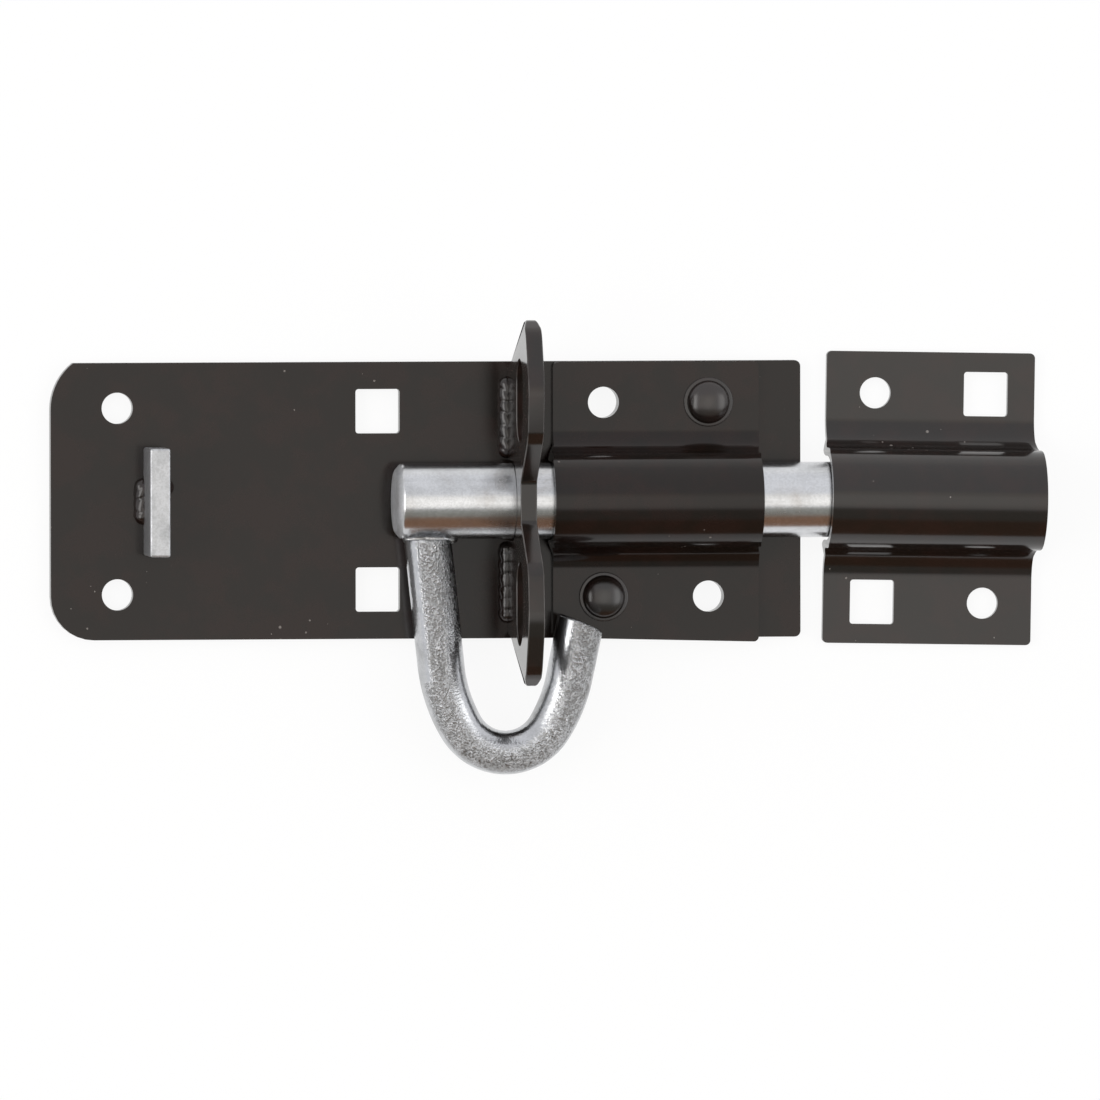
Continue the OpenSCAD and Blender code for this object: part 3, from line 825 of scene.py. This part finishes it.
def root_corners(size):
    """Corner points of the weld round the handle's root, on the round of the bolt"""
    steps, flat, reach, rod = 220, 0.5, size.bar_radius + 0.04 * MM, size.rod_radius * 0.92
    fill_width, flank_width, right_width, fill_height, flank_drop = 0.32, 0.75, 0.55, 1.45, 0.55
    lean = size.leg_lean
    ahead, side = ahead_of(lean), side_of(lean)
    turns = round(2 * math.pi * rod / size.bead_pitch)
    corners = []
    for k, a in enumerate(circle(steps)):
        out = side * math.cos(a) + Vector((0, 0, flat * math.sin(a)))
        w = rod * flat * math.sin(a)
        t = (math.sqrt(reach ** 2 - w ** 2) + rod * math.cos(a) * math.sin(lean)) / math.cos(lean)
        point = HANDLE_ROOT + ahead * t + out * rod
        away = Vector((0, point.y - HANDLE_ROOT.y, point.z - HANDLE_ROOT.z)).normalized()
        # Wide at the sides of the rod, and only a fill above and below it
        flank = math.cos(a) ** 2
        width = fill_width + flank * (flank_width + right_width * math.cos(a))
        base = (out - away * out.dot(away)).normalized() * width
        wall = ahead * (fill_height - flank_drop * flank)
        corners.append((point, base, wall, size.root_bead_radius, turns * size.bead_pitch * k / steps))
    return corners


class PADBOLT_OT_zinc_welds(bpy.types.Operator):
    """Weld beads at the stop lug and round the root of the handle"""
    bl_idname = "padbolt.zinc_welds"
    bl_label = "Lug and handle welds"

    def execute(self, context):
        for seed, (node, looks) in enumerate((("lug_weld_left", LEFT), ("lug_weld_right", RIGHT))):
            corner_weld(node, node.replace("weld", "bead"), looks, inset=0.1 * MM, bow=0.4,
                        unevenness=0.3 * MM, seed=10.0 + seed)
        bright = zinc("Zinc of the welds", 6.0, stain_amount=0.15, pitting=0.6, relief=0.04 * MM, tone=0.9)
        ring = bead_strip(root_corners(sizes()), "bead_handle_root", closed=True)
        rippled(ring, bright, height=0.08 * MM, bow=0.3, unevenness=0.12 * MM, seed=20.0)
        finished(ring, bright, "zinc_weld", HANDLE_BODY, "handle_weld")
        return {"FINISHED"}


def rivet_tree():
    """Snap-head rivets on points: shank, flat collar and domed head"""
    graph, given, out = new_group("Snap-head rivets", {
        "Geometry": ("Geometry", None), "Head radius": ("Float", 4.2 * MM),
        "Head height": ("Float", 2.2 * MM), "Collar radius": ("Float", 4.9 * MM),
        "Collar height": ("Float", 0.4 * MM),
        "Tail radius": ("Float", 3.8 * MM), "Shank radius": ("Float", 2.5 * MM), "Grip": ("Float", 4.1 * MM),
        "Tail depth": ("Float", 1 * MM), "Material": ("Material", None)},
        {"Geometry": "Geometry"}, "GeometryNodeTree")
    rings, sides, soft = 40, 72, 0.15 * MM
    head, collar, grip = given["Head radius"], given["Collar radius"], given["Grip"]
    tail, shank = given["Tail radius"], given["Shank radius"]
    top = graph.plus(grip, given["Collar height"])
    # Radius and height of the rings of the tail, the shank and the collar; the other rings make the dome
    stops = [
        (0.0, 0.0),
        (tail, 0.0),
        (tail, soft),
        (shank, given["Tail depth"]),
        (shank, graph.minus(grip, 0.02 * MM)),
        (graph.minus(collar, soft), grip),
        (collar, graph.plus(grip, soft)),
        (collar, graph.minus(top, soft)),
        (graph.minus(collar, soft * 0.3), graph.minus(top, soft * 0.3)),
        (graph.minus(collar, soft), top),
        (graph.plus(head, soft * 1.5), top),
        (graph.plus(head, soft * 0.4), graph.plus(top, soft * 0.3)),
    ]
    grid = graph.add("GeometryNodeMeshGrid", {
        "Size X": 1.0, "Size Y": 1.0, "Vertices X": rings + 1, "Vertices Y": sides + 1})
    position = graph.add("GeometryNodeInputPosition").outputs[0]
    place = graph.add("ShaderNodeSeparateXYZ", {0: position}).outputs
    step = graph.times(graph.plus(place[0], 0.5), float(rings))
    turn = graph.times(graph.plus(place[1], 0.5), 2 * math.pi)
    dome = graph.math("DIVIDE", graph.minus(step, float(len(stops))), float(rings - len(stops)), clamp=True)
    swing = graph.times(dome, math.pi / 2)
    bulge = graph.math("POWER", graph.math("SINE", swing), 0.9)
    radius = graph.times(head, graph.math("COSINE", swing))
    height = graph.plus(top, graph.times(given["Head height"], bulge))
    for index, stop in reversed(list(enumerate(stops))):
        here = graph.math("LESS_THAN", step, index + 0.5)
        radius, height = [graph.add("GeometryNodeSwitch", {"Switch": here, "False": beyond, "True": value},
                                    input_type="FLOAT").outputs[0]
                          for beyond, value in zip((radius, height), stop)]
    point = graph.add("ShaderNodeCombineXYZ", {
        "X": graph.times(radius, graph.math("COSINE", turn)),
        "Y": graph.times(radius, graph.math("SINE", turn)), "Z": height})
    lathe = graph.add("GeometryNodeSetPosition", {
        "Geometry": grid.outputs["Mesh"], "Position": point.outputs[0]})
    closed = graph.add("GeometryNodeMergeByDistance", {"Geometry": lathe.outputs[0], "Distance": 0.002 * MM})
    copies = graph.add("GeometryNodeInstanceOnPoints", {
        "Points": given["Geometry"], "Instance": closed.outputs[0]})
    return finish_tree(graph, copies.outputs[0], given, out)


def outward(mesh):
    """Turns every face of a closed mesh outwards"""
    work = bmesh.new()
    work.from_mesh(mesh)
    bmesh.ops.recalc_face_normals(work, faces=work.faces)
    work.to_mesh(mesh)
    work.free()


class PADBOLT_OT_rivets(bpy.types.Operator):
    """Two snap-head rivets that hold the guide strap"""
    bl_idname = "padbolt.rivets"
    bl_label = "Rivets"

    def execute(self, context):
        mesh = bpy.data.meshes.new("rivets")
        places = []
        for node in ("upper_rivet", "lower_rivet"):
            low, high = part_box(node)
            places.append(((low.x + high.x) / 2, (low.y + high.y) / 2, low.z))
        mesh.from_pydata(places, [], [])
        rivets = new_piece("snap_head_rivets", mesh)
        material = enamel("Enamel of the rivets", 6.0, dust_amount=0.4, gloss=0.75, haze=0.1)
        through_nodes(rivets, shared("Snap-head rivets", rivet_tree), {"Material": material})
        outward(rivets.data)
        smooth(rivets.data, 50)
        finished(rivets, material, "enamelled_rivet", BASE_BODY, "upper_rivet", "lower_rivet")
        return {"FINISHED"}


# Stage

class PADBOLT_OT_stage(bpy.types.Operator):
    """Pale floor, soft light and the camera at the photograph's angle"""
    bl_idname = "padbolt.stage"
    bl_label = "Stage"

    @staticmethod
    def pale_floor():
        """A floor that looks white to the camera and in the metal, and takes a soft shadow"""
        reach, under, own_light = 3.0, -0.15 * MM, 0.9
        mesh = bpy.data.meshes.new("floor")
        mesh.from_pydata([(-reach, -reach, under), (reach, -reach, under), (reach, reach, under),
                          (-reach, reach, under)], [], [(0, 1, 2, 3)])
        floor = new_piece("floor", mesh)
        material, graph = new_material("Pale floor")
        if graph:
            matt = graph.add("ShaderNodeBsdfDiffuse", {"Color": opaque(colours().floor)})
            white = graph.add("ShaderNodeEmission", {"Color": WHITE, "Strength": 1.0})
            rays = graph.add("ShaderNodeLightPath").outputs
            direct = graph.math("MAXIMUM", rays["Is Camera Ray"], rays["Is Glossy Ray"])
            seen = graph.math("MAXIMUM", direct, rays["Is Transmission Ray"])
            both = graph.add("ShaderNodeMixShader", {
                0: graph.times(seen, own_light), 1: matt.outputs[0], 2: white.outputs[0]})
            graph.add("ShaderNodeOutputMaterial", {"Surface": both.outputs[0]})
        floor.data.materials.append(material)

    @staticmethod
    def studio(scene):
        """A pale room, dim low down on the handle's side, with a strip overhead and a panel at each side"""
        world = bpy.data.worlds.new("Studio")
        world.use_nodes = True
        world.node_tree.nodes.clear()
        graph = Graph(world.node_tree)
        generated = graph.add("ShaderNodeTexCoord").outputs["Generated"]
        way = graph.add("ShaderNodeSeparateXYZ", {0: generated}).outputs
        grey = graph.mix(graph.ramp(way["Y"], -0.30, -0.42), ROOM, LOW_GREY)
        room = graph.mix(graph.ramp(way["Y"], -0.68, -0.80), grey, LOW_BROWN)
        aside = graph.math("ABSOLUTE", way["X"])
        above = graph.times(graph.ramp(aside, 0.46, 0.34), graph.ramp(way["Z"], 0.70, 0.75))
        strip = graph.times(graph.ramp(way["Y"], 0.32, 0.27), graph.ramp(way["Y"], -0.36, -0.28))
        lit = graph.mix(graph.times(above, strip), room, OVERHEAD_STRIP)
        level = graph.ramp(graph.math("ABSOLUTE", way["Y"]), 0.45, 0.28)
        panel = graph.times(graph.ramp(way["Z"], 0.38, 0.55), level)
        lit = graph.mix(graph.times(graph.ramp(way["X"], -0.5, -0.62), panel), lit, LEFT_PANEL)
        lit = graph.mix(graph.times(graph.ramp(way["X"], 0.5, 0.62), panel), lit, RIGHT_PANEL)
        rays = graph.add("ShaderNodeLightPath").outputs
        sky = graph.mix(rays["Is Camera Ray"], lit, WHITE)
        background = graph.add("ShaderNodeBackground", {"Color": sky, "Strength": 1.0})
        graph.add("ShaderNodeOutputWorld", {"Surface": background.outputs[0]})
        scene.world = world

    @staticmethod
    def soft_key(collection):
        """A faint lamp overhead"""
        data = bpy.data.lights.new("Soft key", "AREA")
        data.shape = "RECTANGLE"
        data.size, data.size_y, data.energy = 0.9, 0.7, 0.5
        lamp = bpy.data.objects.new("Soft key", data)
        lamp.location = (0.15, -0.1, 1.8)
        aim = Vector((0.02, 0, 0))
        lamp.rotation_euler = (aim - lamp.location).to_track_quat("-Z", "Y").to_euler()
        collection.objects.link(lamp)

    @staticmethod
    def camera(scene, collection):
        """A long lens, nearly straight above and a little to the left, as the photograph was taken"""
        data = bpy.data.cameras.new("Camera")
        data.sensor_width, data.lens, data.clip_end = 36, 997, 20
        eye, target, roll = Vector((-0.755, 0.170, 6.0)), Vector((0.0251, -0.0101, 0)), math.radians(0.07)
        back = (eye - target).normalized()
        up = Vector((math.sin(roll), math.cos(roll), 0))
        right = up.cross(back).normalized()
        turned = Matrix((right, back.cross(right), back)).transposed()
        camera = bpy.data.objects.new("Camera", data)
        camera.matrix_world = Matrix.Translation(eye) @ turned.to_4x4()
        collection.objects.link(camera)
        scene.camera = camera

    def execute(self, context):
        self.pale_floor()
        self.studio(context.scene)
        self.soft_key(context.collection)
        self.camera(context.scene, context.collection)
        context.scene.view_settings.view_transform = "Standard"
        return {"FINISHED"}


class PADBOLT_PT_panel(bpy.types.Panel):
    """Lists the pieces of the padbolt with their sizes and colours"""
    bl_idname = "PADBOLT_PT_panel"
    bl_label = "Padbolt"
    bl_space_type = "VIEW_3D"
    bl_region_type = "UI"
    bl_category = "Padbolt"

    def draw(self, context):
        for operator in OPERATORS:
            self.layout.operator(operator.bl_idname)
        for group in (context.scene.padbolt_sizes, context.scene.padbolt_colours):
            box = self.layout.box()
            for key in group.__annotations__:
                box.prop(group, key)


OPERATORS = (
    PADBOLT_OT_stage, PADBOLT_OT_back_plate, PADBOLT_OT_straps, PADBOLT_OT_rivets, PADBOLT_OT_staple_plate,
    PADBOLT_OT_staple_welds, PADBOLT_OT_stop_lug, PADBOLT_OT_bolt, PADBOLT_OT_handle, PADBOLT_OT_zinc_welds)
CLASSES = (PadboltSizes, PadboltColours, *OPERATORS, PADBOLT_PT_panel)


def register():
    for cls in CLASSES:
        bpy.utils.register_class(cls)
    bpy.types.Scene.padbolt_sizes = PointerProperty(type=PadboltSizes)
    bpy.types.Scene.padbolt_colours = PointerProperty(type=PadboltColours)


def unregister():
    del bpy.types.Scene.padbolt_colours
    del bpy.types.Scene.padbolt_sizes
    for cls in reversed(CLASSES):
        bpy.utils.unregister_class(cls)


def main():
    register()
    bpy.ops.padbolt.stage()
    bpy.ops.padbolt.back_plate()
    bpy.ops.padbolt.straps()
    bpy.ops.padbolt.rivets()
    bpy.ops.padbolt.staple_plate()
    bpy.ops.padbolt.staple_welds()
    bpy.ops.padbolt.stop_lug()
    bpy.ops.padbolt.bolt()
    bpy.ops.padbolt.handle()
    bpy.ops.padbolt.zinc_welds()
    bpy.context.view_layer.update()


if __name__ == "__main__":
    main()
